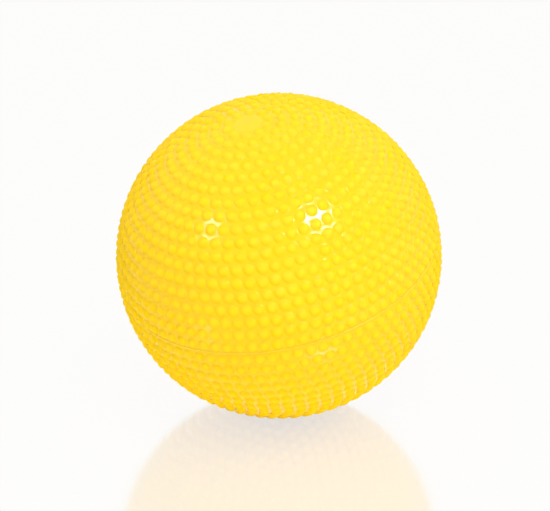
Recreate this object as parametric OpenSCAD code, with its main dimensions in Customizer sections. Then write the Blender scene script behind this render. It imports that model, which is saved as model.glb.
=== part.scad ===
/* [Ball] */
// Diameter over the tips of the nubs
ball_d = 180; // [140:1:220]
// Thickness of the soft skin between the nubs
skin_t = 1.5; // [1.2:0.1:3]

/* [Nubs] */
// Height of a nub above the skin
nub_h = 1.8; // [1.2:0.1:2.4]
// Diameter of a nub where it leaves the skin
nub_d = 6.4; // [5.6:0.1:9]
// Least clear skin between two nubs of one row
nub_gap = 0.5; // [0.4:0.05:3]
// Clear skin between one row of nubs and the next
row_gap = 0.83; // [0.5:0.01:3]
// Clear skin between the seam and the rows beside it
seam_gap = 0.6; // [0.5:0.05:4]
// Width of the bare ring between the valve's neck and the nubs round it
bare_rim = 1.5; // [0.5:0.1:12]

/* [Seam] */
// Width of the weld line that joins the halves
seam_w = 0.7; // [0.5:0.05:1.5]
// Height of the weld line above the skin
seam_h = 0.4; // [0.2:0.05:1]

/* [Valve] */
// Diameter of the plug's head
head_d = 9.4; // [8:0.1:12]
// Thickness of the plug's head
head_t = 1.6; // [1:0.1:2]
// Length of the plug's stem
stem_l = 12; // [6:0.5:20]
// Running clearance round the stem
stem_clear = 0.05; // [0.02:0.01:0.1]
// Diameter of the bore that the plug stops
bore_d = 4.5; // [3:0.1:6]
// How far the bore runs on past the stem's tip
bore_past = 1; // [0:0.1:4]
// Wall of the seat's tube round the bore
tube_wall = 2.75; // [1.5:0.05:4]
// Clear ring round the plug's head in the seat's dish
head_gap = 0.5; // [0.2:0.05:1]
// Depth of the dish
dish_h = 1.5; // [1:0.1:2]
// Wall of the seat's neck round the dish
neck_wall = 1.3; // [0.8:0.1:3]
// How far the seat's flange reaches past its neck, inside the skin
flange_w = 5.5; // [3:0.1:12]
// Thickness of the seat's flange at its rim
flange_t = 1.8; // [1:0.1:3]
// Width of the notch for a fingernail
notch_w = 4; // [2:0.5:6]

/* [How it lies] */
// Lean of the poles from the vertical
lean = 16.4; // [0:0.1:90]
// Direction of the lean, seen from above
heading = -132.4; // [-180:0.1:180]
// Meridian where the rows of the upper half start
upper_start = 162.7; // [0:0.1:360]
// Meridian where the rows of the lower half start
lower_start = 101.4; // [0:0.1:360]

/* [Hidden] */
// How far a nub's root reaches into the skin
nub_root = 0.25;
// How far cuts run past what they cut
over = 1;
// Lead-in at the tip of the stem
tip_chamfer = 0.8;
// How far the notch reaches in and down under the head
notch_in = 0.6;
// Edge break on the plug's head
head_chamfer = 0.3;
ball_fn = 128;
nub_fn = 32;
valve_fn = 64;

skin_r = ball_d / 2 - nub_h;
inner_r = skin_r - skin_t;
half_gap = seam_w / 2;
dish_d = head_d + 2 * head_gap;
neck_d = dish_d + 2 * neck_wall;
flange_d = neck_d + 2 * flange_w;
tube_d = bore_d + 2 * tube_wall;
bore_l = stem_l + bore_past;
// Diameter of the bare disc that the moulds of both halves leave at the pole
bare_d = neck_d + 2 * bare_rim;
// Radius of the sphere that a nub is a cap of
dome_r = (pow(nub_d / 2, 2) + pow(nub_h, 2)) / (2 * nub_h);
dome_z = skin_r + nub_h - dome_r;

// Rows of nubs, by latitude from the seam to the bare disc
function arc_deg(length) = length / skin_r * 180 / PI;
first_lat = arc_deg(half_gap + seam_gap + nub_d / 2);
row_step = arc_deg(nub_d + row_gap);
last_lat = 90 - arc_deg((bare_d + nub_d) / 2);
row_count = floor((last_lat - first_lat) / row_step) + 1;
function row_lat(row) = first_lat + row * row_step;
function nubs_in(row) = floor(2 * PI * skin_r * cos(row_lat(row)) / (nub_d + nub_gap));
// Each nub's latitude and longitude, with every other row half a nub further on
function nub_places(start) = [
  for (row = [0 : row_count - 1], i = [0 : nubs_in(row) - 1])
    [row_lat(row), start + 360 * (i + (row % 2) / 2) / nubs_in(row)]
];

// Height of the seat's neck, flush with the skin at the rim of its hole
neck_z = sqrt(pow(skin_r, 2) - pow(neck_d / 2, 2));
dish_z = neck_z - dish_h;
bore_end_z = dish_z - bore_l;
stem_r = bore_d / 2 - stem_clear;

// The whole ball, leant over and turned as it lies on a level floor
module as_it_lies() {
  rotate([0, 0, heading]) rotate([0, lean, 0]) children();
}

// From the upper pole to the lower one
module at_lower_pole() {
  rotate([180, 0, 0]) children();
}

// A quarter of the skin's section, from the weld line to the pole
module skin_section() {
  intersection() {
    difference() {
      circle(r = skin_r, $fn = ball_fn);
      circle(r = inner_r, $fn = ball_fn);
    }
    translate([0, half_gap]) square(skin_r + over);
  }
}

// One nub: a domed cap that stands on the skin, about the Z axis
module nub() {
  rotate_extrude($fn = nub_fn)
    intersection() {
      translate([0, dome_z]) circle(r = dome_r, $fn = nub_fn);
      translate([0, skin_r - nub_root]) square(dome_r + nub_h);
    }
}

// Half of the skin with its nubs, moulded in one piece. The first pass of the
// loop is the bare skin, and every other pass adds one nub to it.
module half_skin(start) {
  for (place = concat([[]], nub_places(start)))
    if (len(place) == 0) rotate_extrude($fn = ball_fn) skin_section();
    else rotate([0, 90 - place[0], place[1]]) nub();
}

module upper_half() {
  color([1, 0.86, 0.1]) as_it_lies() half_skin(upper_start);
}

module lower_half() {
  color([1, 0.84, 0.08]) as_it_lies() at_lower_pole()
    difference() {
      half_skin(-lower_start);
      translate([0, 0, inner_r - over]) cylinder(d = neck_d, h = skin_t + 2 * over, $fn = valve_fn);
    }
}

// The weld line: a thin ring between the halves, rounded where it stands proud
module seam_weld() {
  crown_r = half_gap;
  color([1, 0.9, 0.3]) as_it_lies()
    rotate_extrude($fn = ball_fn) {
      translate([inner_r - seam_h + crown_r, -half_gap])
        square([skin_t + 2 * (seam_h - crown_r), seam_w]);
      translate([skin_r + seam_h - crown_r, 0]) circle(r = crown_r, $fn = nub_fn);
      translate([inner_r - seam_h + crown_r, 0]) circle(r = crown_r, $fn = nub_fn);
    }
}

// The seat: bonded inside the skin at the lower pole, its neck fills the hole
module valve_seat() {
  flange_z = sqrt(pow(inner_r, 2) - pow(flange_d / 2, 2)) - flange_t;
  color([1, 0.84, 0.08]) as_it_lies() at_lower_pole()
    difference() {
      rotate_extrude($fn = valve_fn)
        difference() {
          union() {
            translate([0, flange_z]) square([neck_d / 2, neck_z - flange_z]);
            translate([0, bore_end_z]) square([tube_d / 2, neck_z - bore_end_z]);
            intersection() {
              circle(r = inner_r, $fn = ball_fn);
              translate([0, flange_z]) square([flange_d / 2, skin_r]);
            }
          }
          translate([0, bore_end_z - over]) square([bore_d / 2, bore_l + dish_h + over * 2]);
          translate([0, dish_z]) square([dish_d / 2, dish_h + over]);
        }
      // The notch reaches just under the rim of the plug's head
      translate([head_d / 2 - notch_in, -notch_w / 2, dish_z - notch_in])
        cube([notch_in + head_gap + neck_wall / 2, notch_w, dish_h + notch_in + over]);
    }
}

// The plug: a flat head on a round stem, pushed into the bore and pulled out of it
module valve_plug() {
  head_r = head_d / 2;
  head_z = dish_z + head_t;
  tip_z = dish_z - stem_l;
  color([0.97, 0.96, 0.93]) as_it_lies() at_lower_pole()
    rotate_extrude($fn = valve_fn)
      polygon([
        [0, tip_z],
        [stem_r - tip_chamfer, tip_z],
        [stem_r, tip_z + tip_chamfer],
        [stem_r, dish_z],
        [head_r, dish_z],
        [head_r, head_z - head_chamfer],
        [head_r - head_chamfer, head_z],
        [0, head_z]
      ]);
}

upper_half();
lower_half();
seam_weld();
valve_seat();
valve_plug();
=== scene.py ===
import math
import random

import bpy
import numpy as np
from mathutils import Matrix, Vector
from mathutils.geometry import delaunay_2d_cdt


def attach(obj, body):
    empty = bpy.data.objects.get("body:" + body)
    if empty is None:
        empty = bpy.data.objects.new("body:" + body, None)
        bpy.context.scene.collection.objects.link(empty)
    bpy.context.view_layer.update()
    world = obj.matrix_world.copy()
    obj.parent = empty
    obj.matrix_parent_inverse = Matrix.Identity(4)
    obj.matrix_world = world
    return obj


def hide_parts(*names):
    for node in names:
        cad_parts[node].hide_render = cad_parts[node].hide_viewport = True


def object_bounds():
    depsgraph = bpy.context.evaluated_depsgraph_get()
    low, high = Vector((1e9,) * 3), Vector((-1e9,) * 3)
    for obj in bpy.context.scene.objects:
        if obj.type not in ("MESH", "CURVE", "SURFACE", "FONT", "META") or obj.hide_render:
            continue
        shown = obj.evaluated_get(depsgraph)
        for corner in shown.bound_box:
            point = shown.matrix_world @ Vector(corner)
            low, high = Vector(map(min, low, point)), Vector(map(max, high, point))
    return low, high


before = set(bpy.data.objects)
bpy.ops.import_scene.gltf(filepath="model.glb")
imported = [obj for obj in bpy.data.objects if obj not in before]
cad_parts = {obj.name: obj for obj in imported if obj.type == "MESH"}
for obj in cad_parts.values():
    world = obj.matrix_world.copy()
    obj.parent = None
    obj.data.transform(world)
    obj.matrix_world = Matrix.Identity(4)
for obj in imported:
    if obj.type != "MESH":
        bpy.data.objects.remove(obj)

CAD_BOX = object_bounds()
MM = 0.001

# The ball, as the CAD model has it
BALL_R = 90 * MM
SKIN_T = 1.5 * MM
NUB_H = 1.8 * MM
NUB_D = 6.4 * MM
NUB_GAP = 0.5 * MM
ROW_GAP = 0.83 * MM
SEAM_GAP = 0.6 * MM
BARE_D = 16 * MM
SEAM_W = 0.7 * MM
SEAM_H = 0.4 * MM
LEAN = math.radians(16.4)
HEADING = math.radians(-132.4)
UPPER_START = math.radians(162.7)
LOWER_START = math.radians(101.4)
SKIN_R = BALL_R - NUB_H
INNER_R = SKIN_R - SKIN_T
HALF_GAP = SEAM_W / 2

# The valve, as the CAD model has it
NECK_R = 6.5 * MM
DISH_H = 1.5 * MM
HEAD_R = 4.7 * MM
HEAD_T = 1.6 * MM
STEM_R = 2.2 * MM
STEM_L = 12 * MM
NECK_Z = math.sqrt(SKIN_R ** 2 - NECK_R ** 2)
DISH_Z = NECK_Z - DISH_H

# How finely the skin is drawn
NUB_SEGMENTS = 16
FILLET_RINGS = 2
DOME_RINGS = 4
SEAM_SEGMENTS = 480
HOLE_SEGMENTS = 48
INNER_ROWS = 12
INNER_SEGMENTS = 120
LEAST_INNER_SEGMENTS = 12
# Rings of points on the bare disc, as (share of the disc's radius, number of points)
BARE_RINGS = ((0.25, 8), (0.5, 14), (0.75, 20))
# The skin's inside has no row of points nearer the hole's centre than this many of its radii
HOLE_CLEAR = 1.5
# Points of the flat map that are nearer than this are joined
MERGE_DISTANCE = 1e-9

# A nub's dome, and the small fillet at its foot
DOME_D = 6.15 * MM
FOOT_FILLET = 0.5 * MM
DOME_R = ((DOME_D / 2) ** 2 + NUB_H ** 2) / (2 * NUB_H)
DOME_Z = SKIN_R + NUB_H - DOME_R
# How far nubs stray from their places, and the share by which their heights do
NUB_STRAY = 0.03 * MM
NUB_H_STRAY = 0.015
# Light that sinks in blurs a nub's shading: its normals lean this share back to the skin's
SOFT_SHARE = 0.3
# How far the skin's normals tilt away from a nub at its foot
FOOT_TILT = math.radians(5)

# The weld bead's uneven height outside, as waves of (number round the ball, phase, share)
WELD_WAVE = 0.02 * MM
WELD_WAVES = ((7, 1, 1.0), (23, 0, 0.6), (61, 2, 0.5))
WELD_CROWN_STEPS = 8

# The plug's trim: soft edges, a tapered tip, two ribs on the stem and a dimple in the head
HEAD_EDGE = 0.35 * MM
TIP_TAPER = 0.9 * MM
TIP_BEND_IN = 0.25 * MM
TIP_BEND_UP = 0.55 * MM
RIB_PLACES = (0.25, 0.45)
RIB_H = 0.12 * MM
RIB_FOOT = 0.8 * MM
RIB_CREST = 0.3 * MM
DIMPLE_R = 1.5 * MM
DIMPLE_STEP_R = 1.1 * MM
DIMPLE_STEP_H = 0.15 * MM
DIMPLE_H = 0.2 * MM
# Edges of the weld and plug that bend more than this are drawn sharp
SHARP_ANGLE = math.radians(38)

# The vinyl's full gloss reaches GLOSSY_H up a nub's foot, and from SATIN_H on the nub is satin
GLOSSY_H = 0.2 * MM
SATIN_H = 3 * GLOSSY_H
# Painted light and shade: from this share of a nub's height up, its colour turns from the valleys' painted
# shade to the paler, painted-lit tips
TIP_PAINTED_LIGHT_FROM = 0.35
# Painted light on the bare disc: it is painted paler out to the first of these shares of its width, fading
# out by the second
BARE_FULL = 0.4
BARE_GONE = 0.65
# How near the bare disc's painted light brings its colour to that of the nubs' painted-lit tips
BARE_PAINTED_LIGHT = 0.7
# How much the vinyl's colour clouds, and what its smears scale the roughness by
CLOUDING = 0.12
LEAST_SMEAR = 0.8
MOST_SMEAR = 1.3
# What the plug's worn patches scale its colour and its roughness by
WORN_COLOUR = 0.93
WORN_ROUGHNESS = 1.5

# The photograph's view: where the ball's centre is, and its radius, in pixels of a 550 x 511 frame
FRAME_W = 550
FRAME_H = 511
BALL_PX = (278.9, 255.6)
BALL_RADIUS_PX = 163.3
VIEW_ELEVATION = math.radians(22.5)
VIEW_DISTANCE = 20 * BALL_R
FAR_CLIP = 100

# The studio: the white that the camera and glossy surfaces see, the light on the object, and the floor
STUDIO_WHITE = (1, 0.995, 0.985, 1)
SHOWN_LEVEL = 0.985
AMBIENT_LEVEL = 0.75
SOFTBOX_DISTANCE = 1.6
FLOOR_SIZE = 12
FLOOR_COLOUR = (0.94, 0.94, 0.94, 1)
# The share of the floor that glows white to the camera, while the rest is lit and keeps the shadow
FLOOR_GLOW = 0.96
FLOOR_ROUGHNESS = 0.12
FLOOR_IOR = 2.9

# The sockets of a colour mix, by number because their names are also those of its other sockets
MIX_FACTOR = 0
MIX_A = 6
MIX_B = 7
MIX_RESULT = 2


def turned(angle, axis):
    return np.array(Matrix.Rotation(angle, 3, axis))


# The turns from the upper pole's frame and the lower one's to the row's, and the pole axis in the row's
AS_IT_LIES = turned(HEADING, "Z") @ turned(LEAN, "Y")
LOWER_POLE = AS_IT_LIES @ turned(math.pi, "X")
POLE_AXIS = tuple(AS_IT_LIES[:, 2])


def make_camera():
    """Looks at the ball from the photograph's side, with the ball where the photograph has it."""
    data = bpy.data.cameras.new("camera")
    camera = bpy.data.objects.new("camera", data)
    bpy.context.scene.collection.objects.link(camera)
    back = Vector((0, -math.cos(VIEW_ELEVATION), math.sin(VIEW_ELEVATION)))
    right = Vector((1, 0, 0))
    up = back.cross(right)
    focal_px = BALL_RADIUS_PX * math.sqrt((VIEW_DISTANCE / BALL_R) ** 2 - 1)
    metres_per_px = VIEW_DISTANCE / focal_px
    aim = right * (FRAME_W / 2 - BALL_PX[0]) * metres_per_px
    aim += up * (BALL_PX[1] - FRAME_H / 2) * metres_per_px
    rotation = Matrix((right, up, back)).transposed().to_4x4()
    camera.matrix_world = Matrix.Translation(aim + back * VIEW_DISTANCE) @ rotation
    data.sensor_fit = "HORIZONTAL"
    data.lens = data.sensor_width * focal_px / FRAME_W
    data.clip_end = FAR_CLIP
    bpy.context.scene.camera = camera


class Nodes:
    """The node tree of a material or world, with short calls to add and join nodes."""

    def __init__(self, owner):
        owner.use_nodes = True
        self.tree = owner.node_tree
        self.tree.nodes.clear()

    def add(self, kind, inputs=None, **settings):
        node = self.tree.nodes.new(kind)
        for name, value in settings.items():
            setattr(node, name, value)
        for name, value in (inputs or {}).items():
            node.inputs[name].default_value = value
        return node

    def join(self, out, into):
        self.tree.links.new(out, into)

    def maths(self, operation, a, b=0.0):
        """A Math node of sockets or numbers."""
        node = self.add("ShaderNodeMath", operation=operation)
        for socket, value in zip(node.inputs, (a, b)):
            if isinstance(value, (int, float)):
                socket.default_value = value
            else:
                self.join(value, socket)
        return node.outputs[0]

    def between(self, value, low, high, to_low=0.0, to_high=1.0):
        """Maps a value from one range to another, clamped."""
        node = self.add(
            "ShaderNodeMapRange",
            {"From Min": low, "From Max": high, "To Min": to_low, "To Max": to_high},
        )
        self.join(value, node.inputs["Value"])
        return node.outputs["Result"]

    def noise(self, vector, scale, detail=2.0, roughness=0.5):
        node = self.add("ShaderNodeTexNoise", {"Scale": scale, "Detail": detail, "Roughness": roughness})
        self.join(vector, node.inputs["Vector"])
        return node.outputs["Fac"]

    def mix_colour(self, factor, a, b):
        node = self.add("ShaderNodeMix", data_type="RGBA")
        self.join(factor, node.inputs[MIX_FACTOR])
        node.inputs[MIX_A].default_value = (*a, 1)
        node.inputs[MIX_B].default_value = (*b, 1)
        return node.outputs[MIX_RESULT]

    def bump(self, height, shader, strength, distance):
        node = self.add("ShaderNodeBump", {"Strength": strength, "Distance": distance})
        self.join(height, node.inputs["Height"])
        self.join(node.outputs["Normal"], shader.inputs["Normal"])

    def shown(self):
        """1 for what the camera sees, straight or through glossy and clear surfaces, and 0 for lighting."""
        path = self.add("ShaderNodeLightPath")
        seen = self.maths("MAXIMUM", path.outputs["Is Camera Ray"], path.outputs["Is Glossy Ray"])
        return self.maths("MAXIMUM", seen, path.outputs["Is Transmission Ray"])

    def finish(self, shader, kind="ShaderNodeOutputMaterial"):
        self.join(shader, self.add(kind).inputs["Surface"])


def vinyl(name, colour_and_painted_shade, tip, valley_rough, nub_rough, peel_mm, sinking):
    """Soft vinyl that light sinks into: polished in the valleys and satin on the nubs. Its colour holds
    painted shade and light:
    deeper in the valleys as painted shade between the nubs, paler towards the nubs' tips as painted light,
    and nearly as pale on the bare discs at the poles as painted light."""
    material = bpy.data.materials.new(name)
    n = Nodes(material)
    place = n.add("ShaderNodeTexCoord").outputs["Object"]
    length = n.add("ShaderNodeVectorMath", operation="LENGTH")
    n.join(place, length.inputs[0])
    radius = length.outputs["Value"]
    # Painted light and shade: this share turns the colour from the valleys' painted shade to the nubs'
    # paler, painted-lit tips
    height = n.between(radius, SKIN_R + TIP_PAINTED_LIGHT_FROM * NUB_H, BALL_R)
    # Painted light on the bare discs round both poles: the mask below paints them paler, taking back the
    # valleys' painted shade
    along = n.add("ShaderNodeVectorMath", {1: POLE_AXIS}, operation="DOT_PRODUCT")
    n.join(place, along.inputs[0])
    cosine = n.maths("DIVIDE", n.maths("ABSOLUTE", along.outputs["Value"]), radius)
    gone = math.cos(BARE_GONE * BARE_D / SKIN_R)
    full = math.cos(BARE_FULL * BARE_D / SKIN_R)
    bare = n.between(cosine, gone, full, 0, BARE_PAINTED_LIGHT)
    clouds = n.noise(place, scale=35.0)
    cloudy = n.between(clouds, low=0.3, high=0.7, to_low=-CLOUDING, to_high=CLOUDING)
    colour = n.mix_colour(n.maths("ADD", n.maths("MAXIMUM", height, bare), cloudy), colour_and_painted_shade, tip)
    shader = n.add(
        "ShaderNodeBsdfPrincipled",
        {
            "IOR": 1.45,
            "Specular IOR Level": 0.35,
            "Subsurface Weight": sinking,
            "Subsurface Scale": 0.0012,
            "Subsurface Radius": (1.0, 1.0, 0.15),
        },
        subsurface_method="BURLEY",
    )
    n.join(colour, shader.inputs["Base Color"])
    smears = n.noise(place, scale=60.0, detail=4.0, roughness=0.6)
    smeared = n.between(smears, low=0.35, high=0.7, to_low=LEAST_SMEAR, to_high=MOST_SMEAR)
    satin = n.between(radius, SKIN_R + GLOSSY_H, SKIN_R + SATIN_H, valley_rough, nub_rough)
    n.join(n.maths("MULTIPLY", satin, smeared), shader.inputs["Roughness"])
    peel = n.noise(place, scale=900.0, detail=3.0, roughness=0.55)
    n.bump(peel, shader, strength=0.35, distance=peel_mm * MM)
    n.finish(shader.outputs["BSDF"])
    return material


def waxy_plastic(name, colour, roughness):
    """Milky, slightly scuffed polyethylene."""
    material = bpy.data.materials.new(name)
    n = Nodes(material)
    place = n.add("ShaderNodeTexCoord").outputs["Object"]
    cloudy = n.between(n.noise(place, scale=300.0, detail=3.0), low=0.3, high=0.7)
    worn = tuple(c * WORN_COLOUR for c in colour)
    shader = n.add(
        "ShaderNodeBsdfPrincipled",
        {"IOR": 1.5, "Subsurface Weight": 0.2, "Subsurface Scale": 0.002},
    )
    n.join(n.mix_colour(cloudy, worn, colour), shader.inputs["Base Color"])
    scuffs = n.noise(place, scale=900.0, detail=4.0, roughness=0.7)
    scuffed = n.between(
        scuffs, low=0.35, high=0.65, to_low=roughness, to_high=roughness * WORN_ROUGHNESS
    )
    n.join(scuffed, shader.inputs["Roughness"])
    n.bump(n.noise(place, scale=1500.0), shader, strength=0.3, distance=0.02 * MM)
    n.finish(shader.outputs["BSDF"])
    return material


def local_axes(lat, lon):
    """The outward, east and north directions at a place on the ball."""
    out = np.array((math.cos(lat) * math.cos(lon), math.cos(lat) * math.sin(lon), math.sin(lat)))
    east = np.array((-math.sin(lon), math.cos(lon), 0.0))
    return out, east, np.cross(out, east)


def nub_places(start):
    """Each nub's latitude and longitude, with every other row half a nub further on."""
    first = (HALF_GAP + SEAM_GAP + NUB_D / 2) / SKIN_R
    step = (NUB_D + ROW_GAP) / SKIN_R
    last = math.pi / 2 - (BARE_D + NUB_D) / 2 / SKIN_R
    places = []
    for row in range(int((last - first) / step) + 1):
        lat = first + row * step
        count = int(2 * math.pi * SKIN_R * math.cos(lat) / (NUB_D + NUB_GAP))
        for i in range(count):
            places.append((lat, start + 2 * math.pi * (i + (row % 2) / 2) / count))
    return places


def soft_normal(normal):
    """A section's normal, leant back towards straight up."""
    leant = normal * (1 - SOFT_SHARE) + np.array((0.0, SOFT_SHARE))
    return leant / np.linalg.norm(leant)


def direction(from_point, to_point):
    """The angle of a line in a section."""
    across, up = to_point - from_point
    return math.atan2(up, across)


def nub_section():
    """A nub's section from its foot to its tip, as places and normals (across, up). A small fillet joins
    the dome to the skin, tangent to both."""
    reach = SKIN_R + FOOT_FILLET
    rise = DOME_R + FOOT_FILLET
    up = (reach ** 2 - rise ** 2 + DOME_Z ** 2) / (2 * DOME_Z)
    centre = np.array((math.sqrt(reach ** 2 - up ** 2), up))
    dome = np.array((0.0, DOME_Z))
    on_skin = centre * SKIN_R / reach
    on_dome = dome + (centre - dome) * DOME_R / rise
    section = []
    start = direction(centre, on_skin)
    end = direction(centre, on_dome)
    for i in range(FILLET_RINGS + 1):
        angle = start + (end - start) * i / FILLET_RINGS
        spoke = np.array((math.cos(angle), math.sin(angle)))
        section.append((centre + FOOT_FILLET * spoke, soft_normal(-spoke)))
    foot = direction(dome, on_dome)
    for i in range(1, DOME_RINGS + 1):
        angle = foot + (math.pi / 2 - foot) * i / DOME_RINGS
        spoke = np.array((math.cos(angle), math.sin(angle)))
        section.append((dome + DOME_R * spoke, soft_normal(spoke)))
    section[0] = (section[0][0], np.array((math.sin(FOOT_TILT), math.cos(FOOT_TILT))))
    return section


def add_object(name, mesh):
    thing = bpy.data.objects.new(name, mesh)
    bpy.context.scene.collection.objects.link(thing)
    return thing


class Surface:
    """Points, faces and the normal of each face corner, in a pole's frame."""

    def __init__(self):
        self.points = []
        self.normals = []
        self.faces = []
        self.corners = []

    def point(self, place, normal):
        self.points.append(tuple(place))
        self.normals.append(tuple(normal))
        return len(self.points) - 1

    def face(self, *indices, normal=None):
        self.faces.append(indices)
        self.corners.extend([normal] * len(indices) if normal else [self.normals[i] for i in indices])

    def mesh(self, name, to_row):
        """Makes the object, turned into the row's frame."""
        mesh = bpy.data.meshes.new(name)
        mesh.from_pydata((np.array(self.points) @ to_row.T).tolist(), [], self.faces)
        mesh.polygons.foreach_set("use_smooth", [True] * len(mesh.polygons))
        mesh.normals_split_custom_set((np.array(self.corners) @ to_row.T).tolist())
        mesh.update()
        return add_object(name, mesh)


def ring(surface, radius, lat, count, inward=False):
    """A ring of points on a sphere about the ball's centre."""
    sign = -1 if inward else 1
    made = []
    for i in range(count):
        out = local_axes(lat, 2 * math.pi * i / count)[0]
        made.append(surface.point(out * radius, out * sign))
    return made


def flat_map(place):
    """A sphere's point on the plane, seen from its pole, with its shapes kept round."""
    x, y, z = Vector(place).normalized()
    return Vector((2 * x / (1 + z), 2 * y / (1 + z)))


def fill(surface, used, holes, inward=False):
    """Triangles over the points used, apart from the polygons in holes."""
    local = {index: i for i, index in enumerate(used)}
    flat = [flat_map(surface.points[i]) for i in used]
    polygons = [[local[i] for i in hole] for hole in holes]
    out = delaunay_2d_cdt(flat, [], polygons, 0, MERGE_DISTANCE, True)
    triangles, source_points, source_polygons = out[2], out[3], out[5]
    for triangle, in_hole in zip(triangles, source_polygons):
        if in_hole:
            continue
        corners = [used[source_points[i][0]] for i in triangle]
        surface.face(*(reversed(corners) if inward else corners))


def add_nub(surface, section, lat, lon, height):
    """One domed nub, its height scaled. Returns its foot, a ring on the skin."""
    out, east, north = local_axes(lat, lon)
    rings = []
    for (across, up), (n_across, n_up) in section[:-1]:
        raised = SKIN_R + (up - SKIN_R) * height if up > SKIN_R else up
        made = []
        for i in range(NUB_SEGMENTS):
            angle = 2 * math.pi * i / NUB_SEGMENTS
            side = east * math.cos(angle) + north * math.sin(angle)
            made.append(surface.point(out * raised + side * across, out * n_up + side * n_across))
        rings.append(made)
    tip = surface.point(out * (SKIN_R + NUB_H * height), out)
    for low, high in zip(rings, rings[1:]):
        band(surface, low, high)
    for i in range(NUB_SEGMENTS):
        surface.face(rings[-1][i], rings[-1][(i + 1) % NUB_SEGMENTS], tip)
    return rings[0]


def band(surface, one, two, normals=None):
    """Quads between two rings of as many points."""
    for i in range(len(one)):
        j = (i + 1) % len(one)
        surface.face(one[i], one[j], two[j], two[i], normal=normals[i] if normals else None)


def half_skin(name, start, to_row, hole_r, seed):
    """Half of the skin: nubs outside, smooth inside, with a flat rim at the weld and a hole for the
    valve's neck if hole_r isn't zero."""
    chance = random.Random(seed)
    surface = Surface()
    section = nub_section()
    feet = []
    for lat, lon in nub_places(start):
        lat += chance.uniform(-1, 1) * NUB_STRAY / SKIN_R
        lon += chance.uniform(-1, 1) * NUB_STRAY / SKIN_R / math.cos(lat)
        height = 1 + chance.uniform(-NUB_H_STRAY, NUB_H_STRAY)
        feet.append(add_nub(surface, section, lat, lon, height))
    outer_rim = ring(surface, SKIN_R, math.asin(HALF_GAP / SKIN_R), SEAM_SEGMENTS)
    inner_rim = ring(surface, INNER_R, math.asin(HALF_GAP / INNER_R), SEAM_SEGMENTS, inward=True)
    outside = [i for foot in feet for i in foot] + outer_rim
    inside = list(inner_rim)
    pole = math.pi / 2
    for row in range(1, INNER_ROWS):
        lat = pole * row / INNER_ROWS
        if hole_r and (pole - lat) * INNER_R < hole_r * HOLE_CLEAR:
            continue
        count = max(LEAST_INNER_SEGMENTS, int(INNER_SEGMENTS * math.cos(lat)))
        inside += ring(surface, INNER_R, lat, count, inward=True)
    if hole_r:
        outer_edge = ring(surface, SKIN_R, math.acos(hole_r / SKIN_R), HOLE_SEGMENTS)
        inner_edge = ring(surface, INNER_R, math.acos(hole_r / INNER_R), HOLE_SEGMENTS, inward=True)
        fill(surface, outside + outer_edge, feet + [outer_edge])
        fill(surface, inside + inner_edge, [inner_edge], inward=True)
        middles = [2 * math.pi * (i + 0.5) / HOLE_SEGMENTS for i in range(HOLE_SEGMENTS)]
        band(surface, outer_edge, inner_edge, [tuple(-local_axes(0, middle)[0]) for middle in middles])
    else:
        for share, count in BARE_RINGS:
            outside += ring(surface, SKIN_R, pole - BARE_D / 2 * share / SKIN_R, count)
        outside.append(surface.point((0, 0, SKIN_R), (0, 0, 1)))
        inside.append(surface.point((0, 0, INNER_R), (0, 0, -1)))
        fill(surface, outside, feet)
        fill(surface, inside, [], inward=True)
    band(surface, inner_rim, outer_rim, [(0, 0, -1)] * SEAM_SEGMENTS)
    return surface.mesh(name, to_row)


def lathe(name, section, segments, to_row, shift=None):
    """Turns a section (radius, height), drawn with the solid on its left, about the pole's axis. A section
    that starts and ends on the axis is closed by its poles, and any other is closed by its own last side.
    shift gives a radial offset at an angle and radius."""
    points = []
    rings = []
    for radius, height in section:
        if radius == 0:
            points.append((0, 0, height))
            rings.append([len(points) - 1] * segments)
            continue
        made = []
        for i in range(segments):
            angle = 2 * math.pi * i / segments
            r = radius + (shift(angle, radius) if shift else 0)
            made.append(len(points))
            points.append((r * math.cos(angle), r * math.sin(angle), height))
        rings.append(made)
    pairs = list(zip(rings, rings[1:]))
    if section[0][0] or section[-1][0]:
        pairs.append((rings[-1], rings[0]))
    faces = []
    for low, high in pairs:
        for i in range(segments):
            j = (i + 1) % segments
            faces.append(tuple(dict.fromkeys((low[i], low[j], high[j], high[i]))))
    mesh = bpy.data.meshes.new(name)
    mesh.from_pydata((np.array(points) @ to_row.T).tolist(), [], faces)
    mesh.polygons.foreach_set("use_smooth", [True] * len(mesh.polygons))
    mesh.set_sharp_from_angle(angle=SHARP_ANGLE)
    return add_object(name, mesh)


def arc(centre, radius, start, end, steps):
    """Points of an arc in a section, with angles in degrees."""
    angles = [math.radians(start + (end - start) * i / steps) for i in range(steps + 1)]
    return [(centre[0] + radius * math.cos(a), centre[1] + radius * math.sin(a)) for a in angles]


def weld_shift(angle, radius):
    """How far the weld bead strays from round, outside the skin only."""
    if radius <= SKIN_R:
        return 0
    return WELD_WAVE * sum(share * math.sin(turns * angle + phase) for turns, phase, share in WELD_WAVES)


def make_weld():
    """The weld line: a thin bead, rounded where it stands proud of the skin outside and inside, and never
    quite even."""
    crown = HALF_GAP
    section = [(INNER_R - SEAM_H + crown, -HALF_GAP)]
    section += arc((SKIN_R + SEAM_H - crown, 0), crown, -90, 90, WELD_CROWN_STEPS)
    section += arc((INNER_R - SEAM_H + crown, 0), crown, 90, 270, WELD_CROWN_STEPS)[:-1]
    return lathe("seam_weld_bead", section, SEAM_SEGMENTS, AS_IT_LIES, weld_shift)


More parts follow.
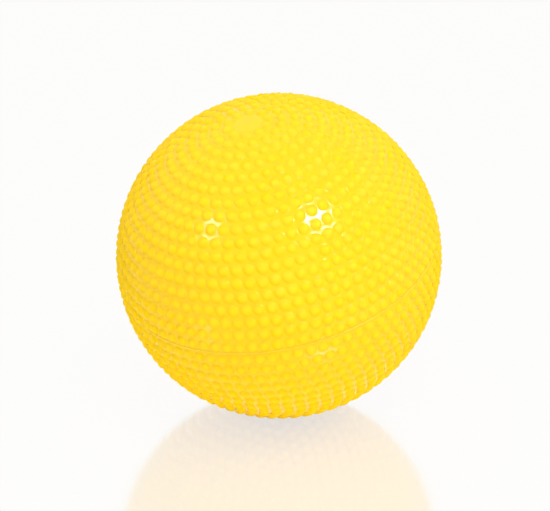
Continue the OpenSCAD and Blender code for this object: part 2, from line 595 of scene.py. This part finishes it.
def make_plug():
    """The plug: a flat round head with soft edges and a moulding dimple, on a stem with two soft ribs."""
    head_top = DISH_Z + HEAD_T
    tip = DISH_Z - STEM_L
    neck = STEM_R - RIB_H
    section = [(0, tip), (STEM_R - TIP_TAPER, tip)]
    section += [(STEM_R - TIP_BEND_IN, tip + TIP_BEND_UP), (neck, tip + TIP_TAPER)]
    for share in RIB_PLACES:
        rib = tip + STEM_L * share
        section += [(neck, rib - RIB_FOOT), (STEM_R, rib - RIB_CREST)]
        section += [(STEM_R, rib + RIB_CREST), (neck, rib + RIB_FOOT)]
    section += [(neck, DISH_Z - RIB_FOOT), (STEM_R, DISH_Z)]
    section += arc((HEAD_R - HEAD_EDGE, DISH_Z + HEAD_EDGE), HEAD_EDGE, -90, 0, steps=4)
    section += arc((HEAD_R - HEAD_EDGE, head_top - HEAD_EDGE), HEAD_EDGE, 0, 90, steps=5)
    section += [(DIMPLE_R, head_top), (DIMPLE_STEP_R, head_top - DIMPLE_STEP_H), (0, head_top - DIMPLE_H)]
    return lathe("plug_body", section, HOLE_SEGMENTS, LOWER_POLE)


def finish_piece(piece, material, body, node):
    piece.data.materials.append(material)
    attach(piece, body)
    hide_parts(node)


def make_floor(level):
    """A pale glossy floor. It shows almost white to the camera, and keeps a soft shadow and a faint
    mirror image of the ball."""
    bpy.ops.mesh.primitive_plane_add(size=FLOOR_SIZE, location=(0, 0, level))
    floor = bpy.context.object
    floor.name = "floor"
    material = bpy.data.materials.new("pale_gloss_floor")
    n = Nodes(material)
    diffuse = n.add("ShaderNodeBsdfDiffuse", {"Color": FLOOR_COLOUR})
    glow = n.add("ShaderNodeEmission", {"Color": STUDIO_WHITE, "Strength": SHOWN_LEVEL})
    pale = n.add("ShaderNodeMixShader")
    n.join(n.maths("MULTIPLY", n.shown(), FLOOR_GLOW), pale.inputs[0])
    n.join(diffuse.outputs[0], pale.inputs[1])
    n.join(glow.outputs[0], pale.inputs[2])
    mirror = n.add("ShaderNodeBsdfGlossy", {"Color": (1, 1, 1, 1), "Roughness": FLOOR_ROUGHNESS})
    skim = n.add("ShaderNodeFresnel", {"IOR": FLOOR_IOR})
    top = n.add("ShaderNodeMixShader")
    n.join(skim.outputs[0], top.inputs[0])
    n.join(pale.outputs[0], top.inputs[1])
    n.join(mirror.outputs[0], top.inputs[2])
    n.finish(top.outputs[0])
    floor.data.materials.append(material)


def make_world():
    """Even white studio light, which the camera and glossy surfaces see as white."""
    world = bpy.data.worlds.new("studio")
    bpy.context.scene.world = world
    n = Nodes(world)
    strength = n.between(n.shown(), 0, 1, AMBIENT_LEVEL, SHOWN_LEVEL)
    sky = n.add("ShaderNodeBackground", {"Color": STUDIO_WHITE})
    n.join(strength, sky.inputs["Strength"])
    n.finish(sky.outputs[0], "ShaderNodeOutputWorld")


def add_softbox(name, towards, size, power, sheen=False):
    """A rectangular light that faces the ball from a direction. It either lights the ball, or is only
    mirrored in it as a highlight."""
    data = bpy.data.lights.new(name, "AREA")
    data.shape = "RECTANGLE"
    data.size, data.size_y = size
    data.energy = power
    light = add_object(name, data)
    place = Vector(towards).normalized() * SOFTBOX_DISTANCE
    light.location = place
    light.rotation_mode = "QUATERNION"
    light.rotation_quaternion = place.to_track_quat("Z", "Y")
    light.visible_diffuse = not sheen
    light.visible_glossy = sheen


make_camera()
make_world()
add_softbox("main_softbox", towards=(0.18, -0.45, 0.875), size=(0.7, 0.7), power=11.5)
add_softbox("main_sheen", towards=(0.438, -0.564, 0.7), size=(0.47, 0.35), power=24, sheen=True)
add_softbox("side_sheen", towards=(-0.726, -0.453, 0.517), size=(0.31, 0.31), power=5.8, sheen=True)
make_floor(CAD_BOX[0][2])

yellow = vinyl(
    "yellow_vinyl", colour_and_painted_shade=(1.0, 0.641, 0.001), tip=(1.0, 0.694, 0.005),
    valley_rough=0.12, nub_rough=0.8, peel_mm=0.02, sinking=1.0,
)
weld_yellow = vinyl(
    "weld_vinyl", colour_and_painted_shade=(1.0, 0.73, 0.02), tip=(1.0, 0.77, 0.04),
    valley_rough=0.3, nub_rough=0.3, peel_mm=0.02, sinking=0.0,
)
# The valve seat lies in the lower bare disc, so that disc's painted light makes it paler too
seat_yellow = vinyl(
    "seat_vinyl", colour_and_painted_shade=(1.0, 0.635, 0.001), tip=(1.0, 0.68, 0.003),
    valley_rough=0.25, nub_rough=0.25, peel_mm=0.03, sinking=1.0,
)
plug_white = waxy_plastic("plug_polyethylene", colour=(0.9, 0.88, 0.83), roughness=0.32)

upper = half_skin("upper_half_skin", UPPER_START, AS_IT_LIES, hole_r=0, seed=1)
finish_piece(upper, yellow, "ball", "upper_half")
lower = half_skin("lower_half_skin", -LOWER_START, LOWER_POLE, hole_r=NECK_R, seed=2)
finish_piece(lower, yellow, "ball", "lower_half")
finish_piece(make_weld(), weld_yellow, "ball", "seam_weld")
finish_piece(make_plug(), plug_white, "plug", "valve_plug")
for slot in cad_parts["valve_seat"].material_slots:
    slot.material = seat_yellow

bpy.context.scene.view_settings.view_transform = "Standard"
